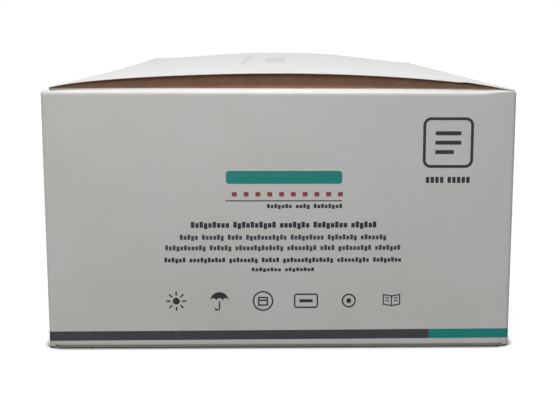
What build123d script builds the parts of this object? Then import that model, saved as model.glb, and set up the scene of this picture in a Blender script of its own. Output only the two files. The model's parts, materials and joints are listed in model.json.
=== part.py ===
from build123d import *
import os
from math import cos, radians, sin, tan

# Folding carton of coated board, printed end panel towards -Y, lid hinged on the right long wall.
# The origin is the middle of the base, +Z is up and all sizes are in millimetres.

# Card
board = 0.45            # thickness of the card
fold_inside = 0.6       # inside radius of the crisp folds
fold_outside = fold_inside + board

# Walls
carton_width = 130.0    # across an end panel
carton_depth = 245.0    # from end panel to end panel
side_height = 72.1      # floor to the cut top edge of a long wall
crease_step = 0.9       # dust flap's crease, on an end panel, above that edge

# Lid, bowed up along its whole length, with a tuck flap inside the left wall
near_rise = 4.05        # crown of its underside above the end crease, printed end
far_rise = 3.3          # the same at the other end
lid_setback = 0.3       # lid's cut edges from the outside of the end panels
hinge_gap = 0.15        # lid's underside above the cut edge of the hinged wall
hinge_offset = 0.1      # hinge line outside the hinged wall
lid_nose = 0.3          # rounding of the lid's outer edge along the hinge
tuck_lift = 0.65        # left end of the lid's arch above its hinged end
tuck_gap = 0.4          # left wall to the tuck flap, at its fold
tuck_fold = 0.8         # inside radius of the fold between lid and tuck flap
tuck_depth = 15.0       # height of the tuck flap
tuck_setback = 2.6      # tuck flap's ends from the outside of the end panels
tuck_taper = 5.0        # slant of each end of the tuck flap
tuck_corner = 8.0       # rounding of the tuck flap's free corners
tuck_shoulder = 0.3     # lid's corners above the walls' cut edges

# Dust flaps, which spring up under the lid
flap_length = 45.0      # from the end panel inwards
flap_notch = 2.5        # relief cut at each end of the crease
flap_taper = 5.0        # slant of each side of a flap
flap_corner = 8.0       # rounding of a flap's free corners
flap_slope = 50.0       # rise behind the crease, in degrees
flap_roll = 2.2         # outside radius of the soft fold at the crease
lid_clearance = 0.3     # lid's underside to a dust flap

# Glued seam and base
glue_width = 14.0       # glue flap, inside the far end panel
glue_end = 5.0          # glue flap's ends from the floor and the walls' top edge
base_flap_length = 45.0
base_tuck_depth = 15.0
slit_width = 0.3        # line round the three free edges of the closing panel
slit_depth = board * 2 / 3
slit_inset = 0.9        # that line from the outside of the walls

half_width = carton_width / 2
half_depth = carton_depth / 2
end_height = side_height + crease_step
hinge_height = side_height + hinge_gap

# Tuck flap: it leans in just enough for its free edge to swing clear of the left wall
tuck_lean = tuck_depth ** 2 / (2 * carton_width)
tuck_face = half_width - board - tuck_gap
tuck_height = hinge_height + tuck_lift
tuck_free = tuck_height + board - tuck_depth

# Dust flap: its own solid starts a little way down the end panel, and is cut from a taller block
flap_turn = radians(90 - flap_slope)
roll_start = end_height - flap_roll * sin(flap_turn)
flap_foot = roll_start - 2 * flap_roll
block_top = end_height + 2 * max(near_rise, far_rise)


def rise_at(y):
    return near_rise + (far_rise - near_rise) * (y + half_depth) / carton_depth


def lid_underside(y, drop):
    # The arch of the lid at one place along the carton, lowered by drop
    left = (-tuck_face, tuck_height - drop)
    crown = (0, end_height + rise_at(y) - drop)
    right = (half_width, hinge_height - drop)
    return ThreePointArc(right, crown, left)


def space_under_lid(drop):
    margin = board
    floor = flap_foot - board - margin
    with BuildPart() as space:
        for y in (-half_depth - margin, half_depth + margin):
            with BuildSketch(Plane.XZ.offset(-y)):
                with BuildLine():
                    arch = lid_underside(y, drop)
                    Polyline(arch @ 1, (-tuck_face, floor), (half_width, floor), arch @ 0)
                make_face()
        loft(ruled=True)
    return space.part


def flap_core(end, inset):
    # Solid block inside one end's soft fold and dust flap, a card's thickness further in with inset
    radius = flap_roll - inset
    ramp_y = inset + radius * (1 - cos(flap_turn))
    ramp_z = roll_start + radius * sin(flap_turn)
    middle = flap_turn / 2
    reach = flap_length + inset
    floor = flap_foot - inset

    def place(inward, z):
        return (end * (half_depth - inward), z)

    with BuildPart() as core:
        with BuildSketch(Plane.YZ):
            with BuildLine():
                roll = ThreePointArc(
                    place(inset, roll_start),
                    place(inset + radius * (1 - cos(middle)), roll_start + radius * sin(middle)),
                    place(ramp_y, ramp_z),
                )
                Polyline(
                    roll @ 1,
                    place(ramp_y + (block_top - ramp_z) / tan(radians(flap_slope)), block_top),
                    place(reach, block_top),
                    place(reach, floor),
                    place(inset, floor),
                    roll @ 0,
                )
            make_face()
        extrude(amount=half_width, both=True)
        add(space_under_lid(lid_clearance + inset), mode=Mode.INTERSECT)
    return core.part


def flap_outline(end, start, length):
    # Plan of a dust flap, from start inside the end panel's face to its free edge
    crease = half_width - flap_notch
    free = crease - flap_taper
    with BuildSketch() as outline:
        with BuildLine():
            Polyline(
                (-crease, end * (half_depth - start)),
                (crease, end * (half_depth - start)),
                (crease, end * (half_depth - flap_roll)),
                (free, end * (half_depth - length)),
                (-free, end * (half_depth - length)),
                (-crease, end * (half_depth - flap_roll)),
                close=True,
            )
        make_face()
        fillet(outline.vertices().sort_by(lambda v: abs(v.Y))[:2], radius=flap_corner)
    return outline.sketch


def tuck_outline(fold, free):
    # Side view of a tuck flap between its fold and its free edge, both heights
    long_half = half_depth - tuck_setback
    short_half = long_half - tuck_taper
    with BuildSketch() as outline:
        with BuildLine():
            Polyline(
                (-long_half, fold),
                (long_half, fold),
                (short_half, free),
                (-short_half, free),
                close=True,
            )
        make_face()
        fillet(outline.vertices().sort_by(lambda v: abs(v.Y - free))[:2], radius=tuck_corner)
    return outline.sketch


def lid_section(y):
    # Lid and tuck flap cut across, one card thick
    outer_corner = (-tuck_face, tuck_height + board)
    inner_corner = (-tuck_face + board, tuck_height)
    hinge_corner = (half_width, hinge_height + board)
    outer_free = (-tuck_face + tuck_lean, tuck_free)
    with BuildSketch(Plane.XZ.offset(-y)) as section:
        with BuildLine():
            under = lid_underside(y, 0)
            over = lid_underside(y, -board)
            Line(under @ 0, over @ 0)
            Line(under @ 1, over @ 1)
        make_face()
        with BuildLine():
            Polyline(
                outer_corner,
                outer_free,
                (outer_free[0] + board, tuck_free),
                (inner_corner[0], tuck_height + board / 2),
                close=True,
            )
        make_face()
        with BuildLine():
            Polyline(
                outer_corner,
                outer_free,
                (-half_width, tuck_free),
                (-half_width, outer_corner[1]),
                close=True,
            )
        make_face(mode=Mode.SUBTRACT)
        fillet(section.vertices().sort_by_distance(outer_corner)[0], radius=tuck_fold + board)
        fillet(section.vertices().sort_by_distance(inner_corner)[0], radius=tuck_fold)
        fillet(section.vertices().sort_by_distance(hinge_corner)[0], radius=lid_nose)
    return section.sketch


# Dust flap and its soft fold, one at each end
flaps = []
for end in (-1, 1):
    with BuildPart() as flap:
        add(flap_core(end, 0))
        add(flap_core(end, board), mode=Mode.SUBTRACT)
        with BuildSketch(Plane.XY.offset(flap_foot)):
            add(flap_outline(end, 0, flap_length))
        extrude(amount=block_top - flap_foot, mode=Mode.INTERSECT)
    flaps.append(flap.part)

# Carton: walls, base and dust flaps, folded from one sheet
with BuildPart() as carton:
    with BuildSketch():
        Rectangle(carton_width, carton_depth)
    extrude(amount=side_height)
    fillet(carton.edges().filter_by(Axis.Z), radius=fold_outside)
    fillet(carton.faces().sort_by(Axis.Z)[0].edges(), radius=fold_outside)
    offset(amount=-board, openings=carton.faces().sort_by(Axis.Z)[-1])

    # The end panels stop at the crease, between the relief cuts, and the dust flaps go on from there
    with BuildSketch(Plane.XY.offset(flap_foot)):
        Rectangle(carton_width - 2 * flap_notch, carton_depth)
    extrude(amount=side_height - flap_foot, mode=Mode.SUBTRACT)
    add(flaps)

    # Base: two dust flaps and a tuck flap, closed by the outer panel
    with BuildSketch(Plane.XY.offset(board)):
        for end in (-1, 1):
            add(flap_outline(end, board, base_flap_length))
    extrude(amount=board)
    with BuildSketch(Plane.YZ.offset(-half_width + board)):
        add(tuck_outline(board, base_tuck_depth))
    extrude(amount=board)
    panel_width = carton_width - slit_inset - fold_outside
    panel_depth = carton_depth - 2 * slit_inset
    to_hinge = (Align.MAX, Align.CENTER)
    with BuildSketch():
        with Locations((half_width - fold_outside, 0)):
            Rectangle(panel_width, panel_depth, align=to_hinge)
            Rectangle(
                panel_width - slit_width, panel_depth - 2 * slit_width, align=to_hinge, mode=Mode.SUBTRACT
            )
    extrude(amount=slit_depth, mode=Mode.SUBTRACT)

    # Glue flap inside the far end panel
    glue_low, glue_high = glue_end, side_height - glue_end
    glue_start = half_width - board
    with BuildSketch(Plane.XZ.offset(board - half_depth)):
        with BuildLine():
            Polyline(
                (glue_start, glue_low),
                (glue_start, glue_high),
                (glue_start - glue_width, glue_high - glue_end),
                (glue_start - glue_width, glue_low + glue_end),
                close=True,
            )
        make_face()
    extrude(amount=board)

# Lid: bowed panel and tuck flap, folded from one sheet
with BuildPart() as lid:
    for y in (lid_setback - half_depth, half_depth - lid_setback):
        add(lid_section(y))
    loft(ruled=True)
    # The tuck flap is shorter than the lid, with slanted ends and round corners
    shoulder = side_height + tuck_shoulder
    with BuildSketch(Plane.YZ.offset(-half_width)):
        with Locations((0, shoulder)):
            Rectangle(carton_depth, 2 * tuck_depth, align=(Align.CENTER, Align.MAX))
        add(tuck_outline(shoulder, tuck_free), mode=Mode.SUBTRACT)
    extrude(amount=half_width - tuck_face + tuck_lean + 2 * board, mode=Mode.SUBTRACT)

carton.part.label = "carton"
lid.part.label = "lid"
os.makedirs("parts", exist_ok=True)
export_step(carton.part, "parts/carton.step")
export_step(lid.part, "parts/lid.step")
print("hinge line x", half_width + hinge_offset, "z", hinge_height)
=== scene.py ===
import json
from math import cos, pi, radians, sin, sqrt, tan

import bpy
import numpy as np
from mathutils import Matrix, Vector


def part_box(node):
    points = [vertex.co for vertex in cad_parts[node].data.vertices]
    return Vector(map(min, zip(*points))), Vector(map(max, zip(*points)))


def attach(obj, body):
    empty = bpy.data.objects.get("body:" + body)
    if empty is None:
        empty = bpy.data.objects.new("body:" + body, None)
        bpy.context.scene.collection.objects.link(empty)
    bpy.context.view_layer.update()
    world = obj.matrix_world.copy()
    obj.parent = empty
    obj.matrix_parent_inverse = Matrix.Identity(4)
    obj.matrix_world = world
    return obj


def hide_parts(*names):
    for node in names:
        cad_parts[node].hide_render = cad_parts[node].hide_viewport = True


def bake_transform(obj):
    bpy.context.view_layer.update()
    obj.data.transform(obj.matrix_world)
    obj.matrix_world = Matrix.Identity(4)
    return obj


# Folding carton of coated card: bowed lid, soft front fold, brown dust flaps, plain print on one end.
# X is across, Y runs back from the printed end and Z is up. Sizes are in millimetres until a mesh is made.

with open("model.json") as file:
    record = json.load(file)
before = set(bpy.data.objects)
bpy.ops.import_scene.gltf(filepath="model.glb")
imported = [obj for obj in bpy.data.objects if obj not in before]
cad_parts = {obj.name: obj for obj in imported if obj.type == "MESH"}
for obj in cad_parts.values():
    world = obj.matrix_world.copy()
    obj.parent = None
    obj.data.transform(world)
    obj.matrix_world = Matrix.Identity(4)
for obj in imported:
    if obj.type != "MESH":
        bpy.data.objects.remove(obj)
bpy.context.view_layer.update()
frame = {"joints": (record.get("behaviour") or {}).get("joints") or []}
mm = 0.001
cartonHigh = np.array(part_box("carton")[1]) / mm
lidLow = np.array(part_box("lid")[0]) / mm
lidHigh = np.array(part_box("lid")[1]) / mm
hinge = np.array(frame["joints"][0]["pos_m"]) / mm
halfWidth, halfDepth = cartonHigh[0], cartonHigh[1]
print("frame loaded, carton", round(2 * halfWidth, 1), "by", round(2 * halfDepth, 1), "mm")


def mix(first, second, share):
    return first + (second - first) * share


# Finishes

def newFinish(name):
    finish = bpy.data.materials.new(name)
    finish.use_nodes = True
    return finish, finish.node_tree.nodes["Principled BSDF"]


def addNode(finish, kind, inputs, **settings):
    node = finish.node_tree.nodes.new(kind)
    for setting, value in settings.items():
        setattr(node, setting, value)
    for socket, value in inputs.items():
        if isinstance(value, bpy.types.NodeSocket):
            finish.node_tree.links.new(value, node.inputs[socket])
        else:
            node.inputs[socket].default_value = value
    return node


def restPlace(finish):
    return addNode(finish, "ShaderNodeAttribute", {}, attribute_name="restPlace").outputs["Vector"]


def noise(finish, place, size, detail=2.0, stretch=(1, 1, 1)):
    # grey noise with features about size millimetres across
    scaled = addNode(finish, "ShaderNodeMapping", {"Vector": place, "Scale": stretch}).outputs["Vector"]
    inputs = {"Vector": scaled, "Scale": 1 / (size * mm), "Detail": detail, "Roughness": 0.55}
    return addNode(finish, "ShaderNodeTexNoise", inputs).outputs["Fac"]


def window(finish, value, low, high, start=0.0, end=1.0):
    inputs = {"Value": value, "From Min": low, "From Max": high, "To Min": start, "To Max": end}
    return addNode(finish, "ShaderNodeMapRange", inputs, clamp=True).outputs["Result"]


def blendColours(finish, share, first, second):
    def rgba(value):
        return value if isinstance(value, bpy.types.NodeSocket) else (*value, 1)

    node = addNode(finish, "ShaderNodeMix", {"Factor": share}, data_type="RGBA")
    for number, value in ((6, rgba(first)), (7, rgba(second))):
        if isinstance(value, bpy.types.NodeSocket):
            finish.node_tree.links.new(value, node.inputs[number])
        else:
            node.inputs[number].default_value = value
    return node.outputs[2]


def times(finish, first, second):
    return addNode(finish, "ShaderNodeMath", {0: first, 1: second}, operation="MULTIPLY").outputs[0]


def setBump(finish, shader, height, depth):
    inputs = {"Height": height, "Distance": depth * mm, "Strength": 1.0}
    bump = addNode(finish, "ShaderNodeBump", inputs)
    finish.node_tree.links.new(bump.outputs["Normal"], shader.inputs["Normal"])


def setColour(finish, shader, colour):
    finish.node_tree.links.new(colour, shader.inputs["Base Color"])


whiteCoatLook = {
    "white": (0.80, 0.795, 0.775),
    "shade": (0.775, 0.768, 0.745),  # slow mottle of the coating
    "paintedHighlight": (0.93, 0.90, 0.85),      # painted highlight on folds and cut edges, with some stretched coating
    "paintedHighlightShare": (0.7, 1.0),
    "fleck": (0.50, 0.44, 0.38),     # fibres that show through
    "fleckShare": 0.15,
    "soil": (0.74, 0.71, 0.67),      # handling marks low on the walls
    "mottleSize": 14,
    "soilReach": 30,                 # how far up the walls the marks go
    "soilSize": 22,
    "soilShare": 0.5,
    "roughness": (0.38, 0.46),
    "grainSize": 0.35,
    "grainDepth": 0.012,
}


def makeWhiteCoat():
    look = whiteCoatLook
    finish, shader = newFinish("whiteCoat")
    place = restPlace(finish)
    mottle = window(finish, noise(finish, place, look["mottleSize"], 4), 0.35, 0.7)
    colour = blendColours(finish, mottle, look["white"], look["shade"])
    height = addNode(finish, "ShaderNodeSeparateXYZ", {"Vector": place}).outputs["Z"]
    low = window(finish, height, mm, look["soilReach"] * mm, look["soilShare"], 0.0)
    patches = window(finish, noise(finish, place, look["soilSize"], 3), 0.4, 0.7)
    colour = blendColours(finish, times(finish, low, patches), colour, look["soil"])
    flecks = window(finish, noise(finish, place, 0.5, 0), 0.76, 0.82, 0.0, look["fleckShare"])
    colour = blendColours(finish, flecks, colour, look["fleck"])
    # painted highlight: folds and cut edges turn a lighter, warmer white, broken up by crack-like noise of
    # worn coating
    highlightPlaces = addNode(finish, "ShaderNodeAttribute", {}, attribute_name="foldHighlight").outputs["Fac"]
    cracks = window(finish, noise(finish, place, 0.5, 3), 0.4, 0.65, *look["paintedHighlightShare"])
    colour = blendColours(finish, times(finish, highlightPlaces, cracks), colour, look["paintedHighlight"])
    setColour(finish, shader, colour)
    rough = window(finish, noise(finish, place, 6, 2), 0.3, 0.7, *look["roughness"])
    finish.node_tree.links.new(rough, shader.inputs["Roughness"])
    shader.inputs["Specular IOR Level"].default_value = 0.45
    setBump(finish, shader, noise(finish, place, look["grainSize"], 3), look["grainDepth"])
    return finish


brownLinerLook = {
    "brown": (0.50, 0.31, 0.21),
    "dark": (0.42, 0.25, 0.17),
    "fibre": (0.60, 0.43, 0.32),
    "speck": (0.12, 0.07, 0.05),
    "fibreSize": 0.5,
    "grainDepth": 0.03,
}


def makeBrownLiner():
    look = brownLinerLook
    finish, shader = newFinish("brownLiner")
    place = restPlace(finish)
    cloud = window(finish, noise(finish, place, 5, 4), 0.35, 0.7)
    colour = blendColours(finish, cloud, look["brown"], look["dark"])
    strands = noise(finish, place, look["fibreSize"], 3, stretch=(0.25, 0.6, 1))
    colour = blendColours(finish, window(finish, strands, 0.6, 0.8, 0.0, 0.6), colour, look["fibre"])
    specks = window(finish, noise(finish, place, 0.3, 0), 0.72, 0.8, 0.0, 0.5)
    colour = blendColours(finish, specks, colour, look["speck"])
    setColour(finish, shader, colour)
    shader.inputs["Roughness"].default_value = 0.9
    shader.inputs["Specular IOR Level"].default_value = 0.2
    setBump(finish, shader, strands, look["grainDepth"])
    return finish


cutEdgeLook = {
    # light and dark fibres of the white layer and of the brown card under it
    "whiteCutEdge": ((0.84, 0.82, 0.77), (0.74, 0.70, 0.63)),
    "brownCutEdge": ((0.62, 0.56, 0.49), (0.50, 0.43, 0.35)),
}


def makeCutEdge(name):
    finish, shader = newFinish(name)
    place = restPlace(finish)
    fibres = noise(finish, place, 0.4, 4)
    share = window(finish, fibres, 0.4, 0.65)
    setColour(finish, shader, blendColours(finish, share, *cutEdgeLook[name]))
    shader.inputs["Roughness"].default_value = 0.85
    shader.inputs["Specular IOR Level"].default_value = 0.25
    setBump(finish, shader, fibres, 0.04)
    return finish


inkColours = {
    "dark_ink": (0.030, 0.034, 0.042),
    "grey_ink": (0.070, 0.068, 0.075),
    "teal_ink": (0.010, 0.30, 0.27),
    "red_ink": (0.36, 0.06, 0.07),
    "pale_ink": (0.68, 0.68, 0.68),
}
inkWear = {"share": 0.35, "card": 0.7, "cardShare": 0.1}    # where the card shines through the ink


def makeInk(name, colour):
    # printing ink takes the grain of the card, and thins a little here and there
    finish, shader = newFinish(name)
    place = restPlace(finish)
    thin = window(finish, noise(finish, place, 1.2, 4), 0.5, 0.8, 0.0, inkWear["share"])
    lighter = tuple(mix(part, inkWear["card"], inkWear["cardShare"]) for part in colour)
    setColour(finish, shader, blendColours(finish, thin, colour, lighter))
    shader.inputs["Roughness"].default_value = 0.5
    shader.inputs["Specular IOR Level"].default_value = 0.4
    grain = noise(finish, place, whiteCoatLook["grainSize"], 3)
    setBump(finish, shader, grain, whiteCoatLook["grainDepth"])
    return finish


cardFinishes = [
    makeWhiteCoat(),
    makeBrownLiner(),
    makeCutEdge("whiteCutEdge"),
    makeCutEdge("brownCutEdge"),
]
inks = {name: makeInk(name, colour) for name, colour in inkColours.items()}
print("finishes made")


# Card sheets: a sheet is the printed side as faces, thickened at the end

card = {
    "thickness": 0.45,
    "whiteLayer": 0.14,     # white on a cut edge, below its rolled corner
    "cutRoll": 0.08,        # how far the die pressed the printed corner down
    "foldRadius": 1.05,     # outside of a crisp fold
    "foldSteps": 6,
    "spacing": 3.0,
    "edgeRow": 0.35,        # last mesh line before a cut edge
    "highlightTilt": (0.03, 0.25),    # turn of the surface that counts as no fold and as a full one, for the painted highlight
    "sharpEdge": 38,
}
finishNumbers = {"white": 0, "brown": 1, "whiteCut": 2, "brownCut": 3}


def spread(start, end, spacing=card["spacing"]):
    return np.linspace(start, end, max(1, round(abs(end - start) / spacing)) + 1)


def foldArc(start, corner, end, steps=card["foldSteps"]):
    # quarter turn that leaves start and reaches end along the lines to the corner
    start, corner, end = (np.array(point, float) for point in (start, corner, end))
    centre = start + end - corner
    turns = np.linspace(0, pi / 2, steps + 1)
    return [centre + (start - centre) * cos(turn) + (end - centre) * sin(turn) for turn in turns]


def smoothStep(value):
    value = min(1.0, max(0.0, value))
    return value * value * (3 - 2 * value)


def smoothMin(first, second, blend):
    overlap = max(blend - abs(first - second), 0) / blend
    return min(first, second) - overlap * overlap * blend / 4


def newSheet():
    return {"points": [], "known": {}, "faces": [], "skins": []}


def pointNumber(sheet, point):
    key = tuple(int(round(float(part) * 500)) for part in point)
    if key not in sheet["known"]:
        sheet["known"][key] = len(sheet["points"])
        sheet["points"].append([float(part) for part in point])
    return sheet["known"][key]


def addFace(sheet, points, skin="white"):
    corners = list(dict.fromkeys(pointNumber(sheet, point) for point in points))
    if len(corners) > 2:
        sheet["faces"].append(corners)
        sheet["skins"].append(skin)


def addPatch(sheet, rows, skin):
    # rows go up the printed side, and each runs to the right as seen from outside
    for low, high in zip(rows, rows[1:]):
        for corner in range(len(low) - 1):
            addFace(sheet, (low[corner], low[corner + 1], high[corner + 1], high[corner]), skin)


def pointNormals(points, faces):
    normals = np.zeros_like(points)
    for face in faces:
        corners = points[face]
        normals[face] += np.cross(corners[2] - corners[0], corners[-1] - corners[1])
    return normals / np.linalg.norm(normals, axis=1)[:, None]


def makePiece(name, sheet, thickness, finishes, cutRoll=0.0):
    # printed face, its back, and between them a white and a brown layer round every cut edge
    points, faces = np.array(sheet["points"]), sheet["faces"]
    normals = pointNormals(points, faces)
    directed = {(a, b) for face in faces for a, b in zip(face, face[1:] + face[:1])}
    rim = sorted((a, b) for a, b in directed if (b, a) not in directed)
    cut = sorted({point for edge in rim for point in edge})
    front = points.copy()
    front[cut] -= normals[cut] * cutRoll
    layerDepth = min(cutRoll + card["whiteLayer"], 0.85 * thickness)
    layer = points[cut] - normals[cut] * layerDepth
    back = points - normals * thickness
    layerStart, backStart = len(points), len(points) + len(cut)
    layerOf = {point: layerStart + number for number, point in enumerate(cut)}
    corners = list(faces)
    numbers = [finishNumbers[skin] for skin in sheet["skins"]]
    corners += [[backStart + point for point in reversed(face)] for face in faces]
    numbers += [finishNumbers["brown"]] * len(faces)
    for a, b in rim:
        corners.append([b, a, layerOf[a], layerOf[b]])
        corners.append([layerOf[b], layerOf[a], backStart + a, backStart + b])
        numbers += [finishNumbers["whiteCut"], finishNumbers["brownCut"]]

    mesh = bpy.data.meshes.new(name)
    place = np.concatenate([front, layer, back]) * mm
    mesh.from_pydata(place.tolist(), [], corners)
    for finish in finishes:
        mesh.materials.append(finish)
    mesh.polygons.foreach_set("material_index", [number % len(finishes) for number in numbers])
    mesh.polygons.foreach_set("use_smooth", [True] * len(corners))
    mesh.attributes.new("restPlace", "FLOAT_VECTOR", "POINT").data.foreach_set("vector", place.ravel())
    # painted highlight on turned surfaces, and in full on every cut edge
    tilt = 1 - np.abs(np.concatenate([normals, normals[cut], normals])).max(axis=1)
    flat, folded = card["highlightTilt"]
    highlight = np.clip((tilt - flat) / (folded - flat), 0, 1)
    highlight[cut] = 1
    mesh.attributes.new("foldHighlight", "FLOAT", "POINT").data.foreach_set("value", highlight)
    mesh.update()
    mesh.set_sharp_from_angle(angle=radians(card["sharpEdge"]))
    piece = bpy.data.objects.new(name, mesh)
    bpy.context.scene.collection.objects.link(piece)
    return piece


# Lid's bow, which the dust flaps follow too

bow = {
    # heights of the underside: crown, and where it ends at the tuck flap and at the hinge
    "near": {"crown": 77.05, "crownX": 1.5, "left": 72.9, "right": hinge[2]},
    "far": {"crown": 76.4, "crownX": -6.0, "left": 73.6, "right": hinge[2] - 0.5},
    "nearEven": (3.15, 4.1),    # drop that grows with the square, left and right of the crown
    "nearSteep": (10, 11),      # the rest of it, steep at the fold
    "farSkew": (1.0, 1.6),      # where the far end's drop sets in, left and right
    "sag": 0.85,                # tuck flap's fold hangs lower half way along
    "kink": {"x": 50.5, "start": 0.8, "lift": 0.28, "length": 9.0, "reach": 7.0},   # in the near edge
    "tuckGap": 0.6,             # the tuck flap's fold, further in than on the solid
}
lidLeft = lidLow[0] + bow["tuckGap"]


def bowPlace(end, x):
    # side of the crown, share of the way from it to the edge, and the whole drop
    right = x > end["crownX"]
    edge = halfWidth if right else lidLeft
    share = min(1.0, (x - end["crownX"]) / (edge - end["crownX"]))
    return right, share, end["crown"] - end["right" if right else "left"]


def lidUnderside(x, y):
    right, share, drop = bowPlace(bow["near"], x)
    even = bow["nearEven"][right]
    near = bow["near"]["crown"] - even * share ** 2 - (drop - even) * share ** bow["nearSteep"][right]
    right, share, drop = bowPlace(bow["far"], x)
    far = bow["far"]["crown"] - drop * smoothStep(share ** bow["farSkew"][right])
    along = min(1.0, max(0.0, (y + halfDepth) / (2 * halfDepth)))
    sag = bow["sag"] * sin(pi * along) * max(0, x / lidLeft) ** 3
    return mix(near, far, along) - sag


# Carton: walls, base and dust flaps

carton = {
    "sideTop": hinge[2] - 0.15,
    "crease": 73.0,             # white ends here and the brown dust flap starts
    "rollStart": 71.2,          # end panel's flat face ends here
    "rollRadius": 1.3,
    "rollLimit": 0.02,          # the roll's crest stays this far under the lid
    "arcFade": 0.6,             # share of the roll that is gone where a corner's arc begins
    "rampSlope": 50.0,
    "notch": 2.5,
    "flapLength": 45.0,
    "flapStraight": 2.0,        # the slant of a flap's sides starts here
    "flapTaper": 5.0,
    "flapCorner": 8.0,
    "rampDepth": 4.6,           # stretch behind the crease with mesh lines close together
    "rampSpacing": 0.3,
    "underLid": 0.06,           # dust flap's gap to the lid
    "flapBlend": 0.25,
    "baseLift": 0.48,           # end panels and base flaps stand on the closing panel
    "leftFoot": 0.35,
    "stripTop": 71.3,           # the lid's sheet takes over from the right wall here
    "stripEnd": 1.1,            # ends of that strip from the corners
    # at the hinge side the roll is flatter
    "press": {"from": 55.0, "over": 8.0, "share": 0.55, "lift": 0.95},
    "seamGap": 0.03,
    "glue": {"width": 13.5, "end": 5.0},
    "baseTuck": {"height": 15.0, "setback": 2.6, "taper": 5.0, "corner": 8.0},
    "baseRadius": 0.6,
    "tuckGap": 0.05,            # base tuck flap to the left wall
    "panelInset": 0.5,          # closing panel's cut ends from the end panels' faces
    "wallRows": 0.042,          # mesh lines up a wall, as a share of its height
    "firstRow": 0.005,
    # how far the panels bow out, with a ripple on top
    "bows": {"near": 0.6, "far": 0.6, "left": 0.7, "right": 0.6},
    "ripple": {"share": 0.25, "along": 5, "up": 2},
    "freeEdge": 0.75,
}
radius = card["foldRadius"]
crease = halfWidth - carton["notch"]
flatEnd = halfWidth - radius
stripHalf = halfDepth - carton["stripEnd"]
endFold = carton["baseLift"] + carton["baseRadius"]
seamY = halfDepth - card["thickness"] - carton["seamGap"]


def withEdgeRows(values):
    # one more line close to each end, where a cut edge is rolled
    first, last = values[0] + card["edgeRow"], values[-1] - card["edgeRow"]
    return np.concatenate([values[:1], [first], values[1:-1], [last], values[-1:]])


stripe = {
    "low": 2.35, "high": 5.05,      # at the middle of the printed end
    "slant": 0.0034,                # it rises a little to the right there
    "split": 42.2,                  # grey to its left, teal to its right
    "splitShare": 0.826,            # the same place on the other walls
}
endStops = [-flatEnd, flatEnd, -stripe["split"], stripe["split"]]
endStations = np.concatenate([spread(-crease, crease), endStops])
endStations.sort()
sideStations = spread(-(halfDepth - radius), halfDepth - radius)
stripStations = withEdgeRows(spread(-stripHalf, stripHalf))


def wallPush(wall, share, rise):
    # panels of a carton never lie quite flat; the left wall's top edge is free
    reach = carton["freeEdge"] if wall == "left" else 1.0
    push = carton["bows"][wall] * sin(pi * share) * sin(pi * reach * rise)
    ripple = carton["ripple"]
    return push * (1 + ripple["share"] * sin(ripple["along"] * share + ripple["up"] * rise))


def rollStart(x):
    # top of an end panel's flat face, higher where the lid presses on the roll
    press = carton["press"]
    return carton["rollStart"] + press["lift"] * smoothStep((x - press["from"]) / press["over"])


def onCrease(x):
    return abs(x) < crease + 0.01


def bandPlan():
    # (x, y, wall, share of the wall, low, high) round the printed side, from the seam at the far right
    top, foot = carton["sideTop"], carton["baseLift"]
    plan = []

    def endPanel(wall, xs, y):
        for x in xs:
            low = endFold if onCrease(x) else foot
            share = (x + flatEnd) / (2 * flatEnd)
            plan.append((x, y, wall, min(1, max(0, share)), low, rollStart(x)))

    def corner(start, at, end, rolled=True):
        for x, y in foldArc(start, at, end)[1:-1]:
            plan.append((x, y, "corner", 0, foot, rollStart(x) if rolled else top))

    endPanel("far", np.concatenate([[halfWidth - card["thickness"]], endStations[::-1]]), halfDepth)
    corner((-flatEnd, halfDepth), (-halfWidth, halfDepth), (-halfWidth, halfDepth - radius))
    for y in sideStations[::-1]:
        share = (y + halfDepth) / (2 * halfDepth)
        plan.append((-halfWidth, y, "left", share, carton["leftFoot"], top))
    corner((-halfWidth, radius - halfDepth), (-halfWidth, -halfDepth), (-flatEnd, -halfDepth))
    endPanel("near", endStations, -halfDepth)
    corner((flatEnd, -halfDepth), (halfWidth, -halfDepth), (halfWidth, radius - halfDepth))
    plan.append((halfWidth, radius - halfDepth, "corner", 0, foot, top))
    for y in stripStations:
        share = (y + stripHalf) / (2 * stripHalf)
        plan.append((halfWidth, y, "right", share, radius, carton["stripTop"]))
    plan.append((halfWidth, seamY - radius, "corner", 0, foot, top))
    corner((halfWidth, seamY - radius), (halfWidth, seamY), (flatEnd, seamY), False)
    return plan


outward = {"near": (0, -1), "far": (0, 1), "left": (-1, 0), "right": (1, 0), "corner": (0, 0)}


def bandPoint(station, z, lift=0.0):
    x, y, wall, share, low, high = station
    rise = (z - low) / (high - low)
    push = wallPush(wall, share, rise) + lift if wall != "corner" else 0.0
    return (x + outward[wall][0] * push, y + outward[wall][1] * push, z)


def cornerNormal(station):
    x, y, wall = station[:3]
    if wall != "corner":
        return np.array(outward[wall], float)
    panelY = seamY if x > 0 and y > 0 else halfDepth
    centre = np.array([np.sign(x) * flatEnd, np.sign(y) * (panelY - radius)])
    way = np.array([x, y]) - centre
    return way / np.linalg.norm(way)


def cornerInset(size, into):
    # how far a rounded corner of this size has come in, a length past its start
    return size - sqrt(max(0, size ** 2 - max(0, into) ** 2))


def flapHalf(depth):
    # half the width of a dust flap, at a depth from the end panel
    straight = carton["flapStraight"]
    taper = carton["flapTaper"] * max(0, depth - straight) / (carton["flapLength"] - straight)
    into = depth - (carton["flapLength"] - carton["flapCorner"])
    return crease - taper - cornerInset(carton["flapCorner"], into)


def flapDepths(start):
    size = carton["flapCorner"]
    cornerStart = carton["flapLength"] - size
    rounded = cornerStart + size * np.sin(np.linspace(0, pi / 2, 9)[1:])
    return np.concatenate([spread(start, cornerStart)[1:], rounded])


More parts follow.
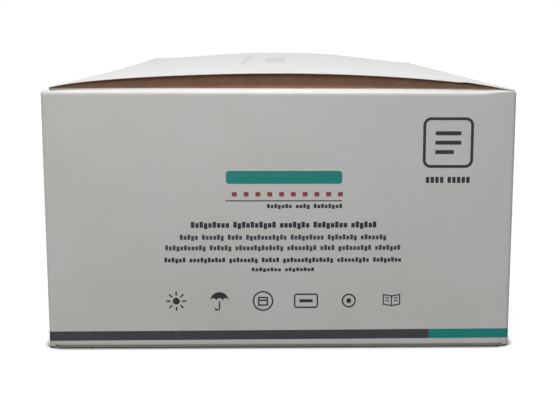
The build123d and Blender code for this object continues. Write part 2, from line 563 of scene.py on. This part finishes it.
def rollProfile():
    # the crease's soft roll as (share of its depth, share of its height), and its depth
    slope = radians(carton["rampSlope"])
    size, turned = carton["rollRadius"], pi / 2 - slope
    points = [(size * (1 - cos(turn)), size * sin(turn)) for turn in np.linspace(0, turned, 7)]
    arcDepth, arcHeight = points[-1]
    height = carton["crease"] - carton["rollStart"]
    depth = arcDepth + (height - arcHeight) / tan(slope)
    for share in (0.33, 0.67, 1):
        points.append((mix(arcDepth, depth, share), mix(arcHeight, height, share)))
    return [(out / depth, up / height) for out, up in points], depth


def rollFade(x, y):
    # 0 along the crease, 1 where a corner's arc meets the long wall
    onArc = carton["arcFade"]
    if halfDepth - abs(y) < 0.001:
        return onArc * max(0, abs(x) - crease) / (flatEnd - crease)
    return onArc + (1 - onArc) * (halfDepth - abs(y)) / radius


def endBand(end):
    # stations of one end panel and its corners, without the seam's inner layer
    stations = [station for station in bandStations if station[1] * end > halfDepth - radius - 0.001]
    return [station for station in stations if station[0] < flatEnd or end < 0 or station[1] == halfDepth]


def softRoll(sheet, end):
    # white roll over the crease, from the top of the end panel
    profile, rollDepth = rollProfile()
    press = carton["press"]
    rows = []
    for out, up in profile:
        row = []
        for x, y, wall, share, low, high in endBand(end):
            fade = smoothStep(rollFade(x, y))
            crest = mix(carton["crease"], carton["sideTop"], fade)
            crest = min(crest, lidUnderside(x, y) - carton["rollLimit"])
            pressed = press["share"] * smoothStep((x - press["from"]) / press["over"])
            lean = rollDepth * (1 - fade) * (1 - pressed)
            x, y = np.array([x, y]) - cornerNormal((x, y, wall)) * lean * out
            row.append((x, y, mix(high, max(high, crest), up)))
        rows.append(row)
    addPatch(sheet, rows, "white")
    return rows[-1], rollDepth


def topFlap(sheet, end):
    # brown dust flap that springs up behind the roll and follows the lid
    crest, rollDepth = softRoll(sheet, end)
    crest = [point for point in crest if onCrease(point[0])]
    slope = tan(radians(carton["rampSlope"]))
    depths = list(spread(0, carton["rampDepth"], carton["rampSpacing"])[1:])
    depths += [depth - rollDepth for depth in flapDepths(rollDepth + carton["rampDepth"])]
    rows = [crest]
    for depth in depths:
        row = []
        for x, y, z in crest:
            across = x * flapHalf(depth + rollDepth) / crease
            y = y - end * depth
            under = lidUnderside(across, y) - carton["underLid"]
            row.append((across, y, smoothMin(z + depth * slope, under, carton["flapBlend"])))
        rows.append(row)
    addPatch(sheet, rows, "brown")


def baseFlap(sheet, end):
    xs = [x for x in (endStations if end < 0 else endStations[::-1]) if onCrease(x)]
    rows = []
    for depth in flapDepths(carton["baseRadius"])[::-1]:
        half = flapHalf(depth)
        rows.append([(x * half / crease, end * (halfDepth - depth), carton["baseLift"]) for x in xs])
    start = halfDepth - carton["baseRadius"]
    fold = foldArc((start, carton["baseLift"]), (halfDepth, carton["baseLift"]), (halfDepth, endFold))
    for out, z in fold:
        rows.append([(x, end * out, z) for x in xs])
    addPatch(sheet, rows, "white")


def closingPanel(sheet):
    # underside: tuck flap inside the left wall, the panel itself, and its fold up into the right wall
    tuck = carton["baseTuck"]
    height, corner = tuck["height"], tuck["corner"]
    left = card["thickness"] + carton["tuckGap"] - halfWidth
    heights = [height - corner * (1 - sin(turn)) for turn in np.linspace(pi / 2, 0, 7)]
    heights += list(spread(height - corner, radius, 1.5)[1:])
    profile = []
    for z in heights:
        slant = tuck["setback"] + tuck["taper"] * z / height
        profile.append((left, z, slant + cornerInset(corner, z - (height - corner))))
    inset = carton["panelInset"]
    profile += [(x, z, inset) for x, z in foldArc((left, radius), (left, 0), (left + radius, 0))[1:]]
    profile += [(x, 0, inset) for x in spread(left + radius, flatEnd)[1:-1]]
    fold = foldArc((flatEnd, 0), (halfWidth, 0), (halfWidth, radius))
    profile += [(x, z, carton["stripEnd"]) for x, z in fold]
    rows = []
    for x, z, inset in profile:
        rows.append([(x, y * (halfDepth - inset) / stripHalf, z) for y in stripStations])
    addPatch(sheet, rows, "white")


def glueFlap(sheet):
    glue = carton["glue"]
    rows = []
    for rise in spread(0, 1, 0.05):
        row = []
        for share in np.linspace(0, 1, 7):
            low = glue["end"] * (1 + share)
            high = carton["sideTop"] - glue["end"] * (1 + share)
            row.append((flatEnd - share * glue["width"], seamY, mix(low, high, rise)))
        rows.append(row)
    addPatch(sheet, rows, "white")


bandStations = bandPlan()


def makeCarton():
    sheet = newSheet()
    first = carton["firstRow"]
    levels = np.concatenate([[0, first], spread(0, 1, carton["wallRows"])[1:-1], [1 - first, 1]])
    rows = []
    for level in levels:
        rows.append([bandPoint(station, mix(*station[4:], level)) for station in bandStations])
    addPatch(sheet, rows, "white")
    for end in (-1, 1):
        topFlap(sheet, end)
        baseFlap(sheet, end)
    closingPanel(sheet)
    glueFlap(sheet)
    piece = makePiece("carton_board", sheet, card["thickness"], cardFinishes, card["cutRoll"])
    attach(piece, "carton")
    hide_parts("carton")
    return piece


cartonBoard = makeCarton()
print("carton folded,", len(cartonBoard.data.polygons), "faces")


# Lid: one sheet from the top of the right wall, over the fold and the bow, down the tuck flap

lid = {
    "foldStart": 0.35,      # hinge fold starts this far above the sheet's lower edge
    "foldInset": 0.1,
    "foldFlat": 0.12,       # how much lower than a full quarter turn the fold is
    "foldSteps": 8,
    "spacing": 2.5,
    "tuckFold": 1.25,
    "tuckLean": 0.865,
    "tuckSetback": 2.6,
    "tuckTaper": 5.0,
    "tuckCorner": 8.0,
    "edgeRow": 0.8,         # second mesh line before a cut edge
    "cutRoll": 0.3,
}
lidHalf = lidHigh[1]
lidFree = lidLow[2]
tuckTop = bow["near"]["left"] + card["thickness"]


def lidTop(x, y):
    z = lidUnderside(x, y) + card["thickness"]
    kink = bow["kink"]
    past = x - kink["x"]
    if past > 0:
        fade = max(0, 1 - past / kink["length"]) * max(0, 1 - (y + lidHalf) / kink["reach"])
        z += kink["lift"] * smoothStep(past / kink["start"]) * fade
    return z


lidStations = withEdgeRows(spread(-lidHalf, lidHalf))
innerRow = lidHalf - lid["edgeRow"]
lidStations = np.insert(lidStations, [2, len(lidStations) - 2], [-innerRow, innerRow])


def sectionRow(section, half):
    # one mesh line along the lid: (x, z) for each of its stations, drawn in to this half length
    return [(x, station * half / lidHalf, z) for station, (x, z) in zip(lidStations, section)]


def hingeFold():
    low = carton["stripTop"]
    over, steps = flatEnd - lid["foldInset"], lid["foldSteps"]
    rows = [sectionRow([(halfWidth, low)] * len(lidStations), stripHalf)]
    turns = []
    for station in lidStations:
        top = lidTop(over, station * stripHalf / lidHalf)
        start, corner = (halfWidth, low + lid["foldStart"]), (halfWidth, top - lid["foldFlat"])
        turns.append(foldArc(start, corner, (over, top), steps))
    for step in range(steps + 1):
        # the strip below the fold is shorter than the lid
        half = mix(stripHalf, lidHalf, smoothStep((step - 3) / 5))
        rows.append(sectionRow([turn[step] for turn in turns], half))
    return rows


def lidPanel():
    rows = []
    for x in spread(flatEnd - lid["foldInset"], lidLeft + lid["tuckFold"], lid["spacing"])[1:]:
        rows.append([(x, y, lidTop(x, y)) for y in lidStations])
    return rows


def tuckFlap():
    left, steps, corner = lidLeft + lid["tuckFold"], lid["foldSteps"], lid["tuckCorner"]
    tuckHeight, tuckHalf = tuckTop - lidFree, halfDepth - lid["tuckSetback"]
    foldEnd = tuckTop - lid["tuckFold"]

    def tuckX(z):
        return lidLeft + lid["tuckLean"] * (tuckTop - z) / tuckHeight

    turns = []
    for y in lidStations:
        turns.append(foldArc((left, lidTop(left, y)), (lidLeft, tuckTop), (tuckX(foldEnd), foldEnd), steps))
    rows = []
    for step in range(1, steps + 1):
        half = mix(lidHalf, tuckHalf, smoothStep((step - 2) / 3))
        rows.append(sectionRow([turn[step] for turn in turns], half))
    heights = list(spread(foldEnd, lidFree + corner, 1.5)[1:])
    heights += [lidFree + corner * (1 - sin(turn)) for turn in np.linspace(0, pi / 2, 8)[1:]]
    for z in heights:
        taper = lid["tuckTaper"] * (tuckTop - z) / tuckHeight
        half = tuckHalf - taper - cornerInset(corner, lidFree + corner - z)
        rows.append(sectionRow([(tuckX(z), z)] * len(lidStations), half))
    return rows


def makeLid():
    sheet = newSheet()
    addPatch(sheet, hingeFold() + lidPanel() + tuckFlap(), "white")
    piece = makePiece("lid_board", sheet, card["thickness"], cardFinishes, lid["cutRoll"])
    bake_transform(piece)
    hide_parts("lid")
    return piece


lidBoard = makeLid()
print("lid folded,", len(lidBoard.data.polygons), "faces")


# Print: thin closed shapes that lie on the card

printing = {"lift": 0.015, "body": 0.03}    # ink above the card, and how thick its sheet is


def onEndPanel(x, z):
    share = (x + flatEnd) / (2 * flatEnd)
    return bandPoint((x, -halfDepth, "near", share, endFold, carton["rollStart"]), z, printing["lift"])


def onLid(x, y):
    return (x, y, lidTop(x, y) + printing["lift"])


def barShape(left, right, low, high, corner=0.0, step=4.0):
    # a bar as a strip of quads, so that it can follow a bowed panel; corner rounds its ends
    corner = min(corner, (high - low) / 2, (right - left) / 2)
    ends = []
    for turn in np.linspace(0, pi / 2, 4) if corner else []:
        ends.append((corner * (1 - cos(turn)), corner * (1 - sin(turn))))
    columns = [(left + out, inset) for out, inset in ends] or [(left, 0)]
    columns += [(x, 0) for x in spread(left + corner, right - corner, step)[1:]]
    columns += [(right - out, inset) for out, inset in ends[-2::-1]]
    shapes = []
    for (x0, inset0), (x1, inset1) in zip(columns, columns[1:]):
        shapes.append([(x0, low + inset0), (x1, low + inset1), (x1, high - inset1), (x0, high - inset0)])
    return shapes


def strokeShape(points, width, closed=False):
    # a line of a given width through the points, as quads with mitred joints
    points = [Vector(point) for point in points]
    count = len(points)
    sides = []
    for number, point in enumerate(points):
        before = points[number - 1] if closed or number else None
        after = points[(number + 1) % count] if closed or number < count - 1 else None
        runs = [(point - before).normalized()] if before is not None else []
        runs += [(after - point).normalized()] if after is not None else []
        normals = [Vector((-run.y, run.x)) for run in runs]
        middle = sum(normals, Vector((0, 0))).normalized()
        reach = width / 2 / max(0.4, middle.dot(normals[0]))
        sides.append((point - middle * reach, point + middle * reach))
    pairs = list(zip(sides, sides[1:])) + ([(sides[-1], sides[0])] if closed else [])
    return [[tuple(a[0]), tuple(b[0]), tuple(b[1]), tuple(a[1])] for a, b in pairs]


def circlePoints(x, z, size, steps=28, start=0, end=2 * pi):
    turns = np.linspace(start, end, steps + 1)
    if abs(end - start - 2 * pi) < 1e-6:
        turns = turns[:-1]
    return [(x + size * cos(turn), z + size * sin(turn)) for turn in turns]


def roundedBox(x, z, half, tall, corner, steps):
    points = []
    for across, up, start in ((1, -1, -pi / 2), (1, 1, 0), (-1, 1, pi / 2), (-1, -1, pi)):
        centre = (x + across * (half - corner), z + up * (tall - corner))
        points += circlePoints(*centre, corner, steps, start, start + pi / 2)
    return points


def printPiece(name, shapes, ink, place, body):
    sheet = newSheet()
    for shape in shapes:
        addFace(sheet, [place(*point) for point in shape])
    piece = makePiece(name, sheet, printing["body"], [inks[ink]])
    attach(piece, body)
    return piece


def stripePoint(station, edge):
    # on the stripe's low or high edge, lifted off the wall
    x, y, wall = station[:3]
    z = stripe[edge] + stripe["slant"] * (-x if wall == "far" else x)
    return np.array(bandPoint(station, z)) + np.append(cornerNormal(station), 0) * printing["lift"]


def makeStripe(name, ink, wanted):
    # wanted says which stretches of the walls this colour covers
    sheet = newSheet()
    for before, after in zip(bandStations, bandStations[1:]):
        if wanted(before, after):
            corners = ((before, "low"), (after, "low"), (after, "high"), (before, "high"))
            addFace(sheet, [stripePoint(station, edge) for station, edge in corners])
    piece = makePiece(name, sheet, printing["body"], [inks[ink]])
    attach(piece, "carton")
    return piece


def isTeal(station):
    x, y, wall = station[:3]
    sideSplit = halfDepth * (2 * stripe["splitShare"] - 1)
    if wall in ("near", "far"):
        return x * (1 if wall == "near" else -1) > stripe["split"] - 0.01
    if wall == "right":
        return y > sideSplit
    if wall == "left":
        return y < -sideSplit
    return x * y < 0 and abs(y) > flatEnd


def bothTeal(before, after):
    return isTeal(before) and isTeal(after)


makeStripe("stripe_grey", "grey_ink", lambda before, after: not bothTeal(before, after))
makeStripe("stripe_teal", "teal_ink", bothTeal)
print("stripes printed")


heading = {
    # left, right, low, high
    "bar": (-14.9, 17.2, 46.9, 50.5),
    "rule": (-15.1, 17.2, 42.0, 42.3),
    "corner": 0.8,
}
block = {
    "gap": 0.24, "space": 1.15, "corner": 0.12,
    "cycle": 13, "tall": (0, 2, 5, 9, 11), "low": (3, 10),     # which blocks reach up or down
    "reach": 0.3,
}
lines = [
    # from and to, heights of a plain block, ink, and how many blocks each word has; even is a gap between
    # blocks that are all alike
    {"x": (-13.3, 17.4), "z": (43.35, 44.6), "ink": "red_ink", "words": (10,), "even": 1.9},
    {"x": (-3.6, 17.2), "z": (40.1, 41.0), "ink": "dark_ink", "words": (7, 4, 8)},
    {"x": (-24.7, 26.8), "z": (34.6, 35.9), "ink": "dark_ink", "words": (9, 10, 7, 8, 6)},
    {"x": (-27.8, 29.6), "z": (31.2, 32.3), "ink": "grey_ink", "words": (5, 6, 4, 11, 9, 8, 7)},
    {"x": (-31.9, 33.6), "z": (28.2, 29.3), "ink": "grey_ink", "words": (11, 6, 13, 8, 4, 9, 7)},
    {"x": (-32.2, 33.9), "z": (24.8, 25.8), "ink": "dark_ink", "words": (6, 10, 8, 5, 14, 9, 8)},
    {"x": (-7.9, 9.5), "z": (22.2, 23.0), "ink": "dark_ink", "words": (8, 8)},
    {"x": (40.4, 52.6), "z": (47.1, 48.8), "ink": "dark_ink", "words": (4, 5), "even": 0.34},
]


def wordBlocks(line):
    # words as rows of plain blocks, a few of them a little taller or lower
    left, right = line["x"]
    low, high = line["z"]
    count = sum(line["words"])
    gap = line.get("even", block["gap"])
    gaps = gap * (count - len(line["words"])) + block["space"] * (len(line["words"]) - 1)
    width = (right - left - gaps) / count
    step = block["reach"] * (high - low) if "even" not in line else 0
    shapes, number = [], 0
    for word in line["words"]:
        for place in range(word):
            turn = number % block["cycle"]
            top = high + step * (turn in block["tall"])
            foot = low - step * (turn in block["low"])
            shapes += barShape(left, left + width, foot, top, block["corner"])
            left += width + (gap if place < word - 1 else block["space"])
            number += 1
    return shapes


def printOnEnd(name, shapes, ink):
    printPiece(name, shapes, ink, onEndPanel, "carton")


printOnEnd("heading_bar", barShape(*heading["bar"], heading["corner"]), "teal_ink")
printOnEnd("heading_rule", barShape(*heading["rule"]), "dark_ink")
for number, line in enumerate(lines, 1):
    printOnEnd(f"line_{number}", wordBlocks(line), line["ink"])
print("heading and lines printed")


symbols = {
    "line": 0.42, "middle": 13.6,
    "sun": {"x": -29.1, "disc": 1.0, "rays": 8, "from": 1.6, "to": 2.8},
    "umbrella": {"x": -17.0, "radius": 2.6, "scallops": 3, "stem": 2.0, "hook": 0.6},
    "box": {"x": -4.8, "ring": 2.7, "half": 1.2, "top": 1.0, "flap": 0.2},
    "frame": {"x": 7.3, "half": 3.2, "tall": 1.9, "corner": 0.6, "bar": (1.9, 0.45, 0.2)},
    "ring": {"x": 19.35, "radius": 1.8, "dot": 0.7},
    # a page's spine from and to, how much its free edge is higher, its width, and its two rows
    "book": {"x": 31.4, "spine": (-1.5, 1.3), "rise": 0.4, "page": 2.3, "line": 0.336,
             "rows": (-0.2, 0.6), "row": (0.7, 1.7), "rowRise": 0.2, "rowLine": 0.3},
}


def sunSymbol(look, x, z):
    shapes = [circlePoints(x, z, look["disc"], 20)]
    for turn in np.linspace(0, 2 * pi, look["rays"] + 1)[:-1]:
        way = Vector((cos(turn), sin(turn)))
        ray = [Vector((x, z)) + way * look["from"], Vector((x, z)) + way * look["to"]]
        shapes += strokeShape(ray, symbols["line"])
    return shapes


def umbrellaSymbol(look, x, z):
    radius, hook, foot = look["radius"], look["hook"], z - look["stem"]
    scallop = radius / look["scallops"]
    canopy = circlePoints(x, z, radius, 16, 0, pi)
    for number in range(look["scallops"]):
        middle = x - radius + (2 * number + 1) * scallop
        canopy += circlePoints(middle, z, scallop, 6, pi, 0)[1:-1] + [(middle + scallop, z)]
    stem = [(x, z), (x, foot)] + circlePoints(x - hook, foot, hook, 8, 0, -pi)[1:]
    return [canopy[:-1]] + strokeShape(stem, symbols["line"])


def boxSymbol(look, x, z):
    half, low, high = look["half"], z - look["half"], z + look["top"]
    shapes = strokeShape(circlePoints(x, z, look["ring"]), symbols["line"], True)
    box = [(x - half, low), (x + half, low), (x + half, high), (x - half, high)]
    shapes += strokeShape(box, symbols["line"], True)
    return shapes + strokeShape([(x - half, z + look["flap"]), (x + half, z + look["flap"])], symbols["line"])


def frameSymbol(look, x, z):
    outline = roundedBox(x, z, look["half"], look["tall"], look["corner"], 4)
    across, up, corner = look["bar"]
    bar = barShape(x - across, x + across, z - up, z + up, corner)
    return strokeShape(outline, symbols["line"], True) + bar


def ringSymbol(look, x, z):
    ring = strokeShape(circlePoints(x, z, look["radius"]), symbols["line"], True)
    return ring + [circlePoints(x, z, look["dot"], 16)]


def bookSymbol(look, x, z):
    low, high = (z + end for end in look["spine"])
    near, far = look["row"]
    shapes = []
    for side in (-1, 1):
        edge = x + side * look["page"]
        page = [(x, low), (edge, low + look["rise"]), (edge, high + look["rise"]), (x, high)]
        shapes += strokeShape(page[::side], look["line"], True)
        for up in look["rows"]:
            row = [(x + side * near, z + up), (x + side * far, z + up + look["rowRise"])]
            shapes += strokeShape(row[::side], look["rowLine"])
    return shapes


drawings = {
    "sun": sunSymbol, "umbrella": umbrellaSymbol, "box": boxSymbol,
    "frame": frameSymbol, "ring": ringSymbol, "book": bookSymbol,
}
for name, draw in drawings.items():
    printOnEnd(f"symbol_{name}", draw(symbols[name], symbols[name]["x"], symbols["middle"]), "dark_ink")


badge = {
    "x": 46.4, "z": 58.3, "half": 6.6, "corner": 1.8, "line": 0.8,
    # height and right end of each bar
    "bars": ((2.6, 3.6), (0, 3.6), (-2.6, 1.6)),
    "barLeft": -3.6, "barHalf": 0.55, "barCorner": 0.3,
}


def makeBadge():
    # plain rounded frame with three bars
    x, z, thick = badge["x"], badge["z"], badge["barHalf"]
    outline = roundedBox(x, z, badge["half"], badge["half"], badge["corner"], 6)
    shapes = strokeShape(outline, badge["line"], True)
    for up, right in badge["bars"]:
        bar = (x + badge["barLeft"], x + right, z + up - thick, z + up + thick)
        shapes += barShape(*bar, badge["barCorner"])
    printOnEnd("end_badge", shapes, "dark_ink")


makeBadge()

lidMark = {
    # left, right, near, far
    "bar": (-14.0, -12.2, -49.5, 73.5), "barStep": 4,
    "blocks": (-5.4, 2.2, -39.0, 28.0), "blockStep": 7, "blockLength": 5.2,
}


def makeLidMarks():
    # faint print on the lid, a long line and a row of short bars
    shapes = []
    left, right, near, far = lidMark["bar"]
    stops = spread(near, far, lidMark["barStep"])
    for start, end in zip(stops, stops[1:]):
        shapes.append([(left, start), (right, start), (right, end), (left, end)])
    left, right, near, far = lidMark["blocks"]
    for start in spread(near, far, lidMark["blockStep"])[:-1]:
        end = start + lidMark["blockLength"]
        shapes.append([(left, start), (right, start), (right, end), (left, end)])
    printPiece("lid_marks", shapes, "pale_ink", onLid, "lid")


makeLidMarks()
print("symbols, badge and lid marks printed")


# Floor, light and camera

floorLook = {
    "half": 3.0,                # in metres
    "colour": (0.14, 0.14, 0.14),
    # painted contact shadow: its colour, width and fade
    "paintedShadowColour": (0.02, 0.02, 0.02),
    "white": (0.92, 1.0),       # what the camera sees on top of the light, near the carton and far off
    "whiteReach": (0.2, 0.6),   # where near ends and far starts, in metres
    "paintedShadowWidth": 6.0,             # width of the painted contact shadow where the carton stands
    "paintedShadowRange": (0.5, 0.75),
}


def makeFloor():
    half = floorLook["half"]
    corners = [(-half, -half, 0), (half, -half, 0), (half, half, 0), (-half, half, 0)]
    mesh = bpy.data.meshes.new("floor")
    mesh.from_pydata(corners, [], [[0, 1, 2, 3]])
    finish, shader = newFinish("floorPaper")
    shader.inputs["Roughness"].default_value = 1.0
    shader.inputs["Specular IOR Level"].default_value = 0.0
    # painted contact shadow: ambient occlusion darkens the floor's colour and dims its camera-only glow next
    # to the carton
    distance = {"Distance": floorLook["paintedShadowWidth"] * mm}
    occlusion = addNode(finish, "ShaderNodeAmbientOcclusion", distance, samples=32)
    clear = window(finish, occlusion.outputs["AO"], *floorLook["paintedShadowRange"])
    grey = blendColours(finish, clear, floorLook["paintedShadowColour"], floorLook["colour"])
    setColour(finish, shader, grey)
    seen = addNode(finish, "ShaderNodeLightPath", {}).outputs["Is Camera Ray"]
    place = addNode(finish, "ShaderNodeNewGeometry", {}).outputs["Position"]
    reach = addNode(finish, "ShaderNodeVectorMath", {0: place}, operation="LENGTH").outputs["Value"]
    white = window(finish, reach, *floorLook["whiteReach"], *floorLook["white"])
    strength = times(finish, times(finish, seen, clear), white)
    glow = addNode(finish, "ShaderNodeEmission", {"Color": (1, 1, 1, 1), "Strength": strength})
    both = addNode(finish, "ShaderNodeAddShader", {0: shader.outputs[0], 1: glow.outputs[0]})
    output = finish.node_tree.nodes["Material Output"]
    finish.node_tree.links.new(both.outputs[0], output.inputs["Surface"])
    mesh.materials.append(finish)
    floor = bpy.data.objects.new("floor", mesh)
    bpy.context.scene.collection.objects.link(floor)


light = {
    "world": (0.150, 0.152, 0.158),
    "lamps": {
        # elevation and azimuth from the printed end's top edge, distance and size in metres
        "key": {"power": 8.9, "elevation": 75, "azimuth": -10, "far": 1.1, "size": 0.5,
                "colour": (1, 1, 1.03)},
        "fill": {"power": 1.4, "elevation": 12, "azimuth": -16, "far": 0.75, "size": 0.5,
                 "colour": (1, 0.99, 0.94)},
    },
}


def makeLight():
    world = bpy.data.worlds.new("studio")
    bpy.context.scene.world = world
    world.use_nodes = True
    nodes, links = world.node_tree.nodes, world.node_tree.links
    nodes.clear()
    path = nodes.new("ShaderNodeLightPath")
    room, white = nodes.new("ShaderNodeBackground"), nodes.new("ShaderNodeBackground")
    pick, out = nodes.new("ShaderNodeMixShader"), nodes.new("ShaderNodeOutputWorld")
    room.inputs["Color"].default_value = (*light["world"], 1)
    white.inputs["Color"].default_value = (1, 1, 1, 1)
    seen = path.outputs["Is Camera Ray"]
    for ray in ("Is Glossy Ray", "Is Transmission Ray"):
        either = nodes.new("ShaderNodeMath")
        either.operation = "MAXIMUM"
        links.new(seen, either.inputs[0])
        links.new(path.outputs[ray], either.inputs[1])
        seen = either.outputs[0]
    links.new(seen, pick.inputs[0])
    links.new(room.outputs[0], pick.inputs[1])
    links.new(white.outputs[0], pick.inputs[2])
    links.new(pick.outputs[0], out.inputs[0])

    aim = Vector((0, -halfDepth * mm, carton["crease"] * mm))
    for name, look in light["lamps"].items():
        lamp = bpy.data.lights.new(name, "AREA")
        lamp.shape = "DISK"
        lamp.size = look["size"]
        lamp.energy = look["power"]
        lamp.color = look["colour"]
        placed = bpy.data.objects.new(name, lamp)
        elevation, azimuth = radians(look["elevation"]), radians(look["azimuth"])
        way = Vector((sin(azimuth) * cos(elevation), -cos(azimuth) * cos(elevation), sin(elevation)))
        placed.rotation_euler = way.to_track_quat("Z", "Y").to_euler()
        placed.location = aim + way * look["far"]
        bpy.context.scene.collection.objects.link(placed)


view = {
    "place": (-0.07, -408.62, 89.55),
    "yaw": 1.567, "pitch": 9.377, "roll": 0.216,
    "lens": 67.26,
    "sensor": 36,
    "shift": -28 / 560,     # the picture was cropped a little off centre
}


def makeCamera():
    data = bpy.data.cameras.new("camera")
    data.sensor_width = view["sensor"]
    data.lens = view["lens"]
    data.shift_x = view["shift"]
    data.clip_start = 0.01
    camera = bpy.data.objects.new("camera", data)
    turn = Matrix.Rotation(-radians(view["yaw"]), 4, "Z")
    turn = turn @ Matrix.Rotation(radians(90 - view["pitch"]), 4, "X")
    turn = turn @ Matrix.Rotation(radians(view["roll"]), 4, "Z")
    camera.matrix_world = Matrix.Translation(Vector(view["place"]) * mm) @ turn
    bpy.context.scene.collection.objects.link(camera)
    bpy.context.scene.camera = camera


makeFloor()
makeLight()
makeCamera()
bpy.context.scene.view_settings.view_transform = "Standard"
print("floor, light and camera set")

bpy.context.view_layer.update()
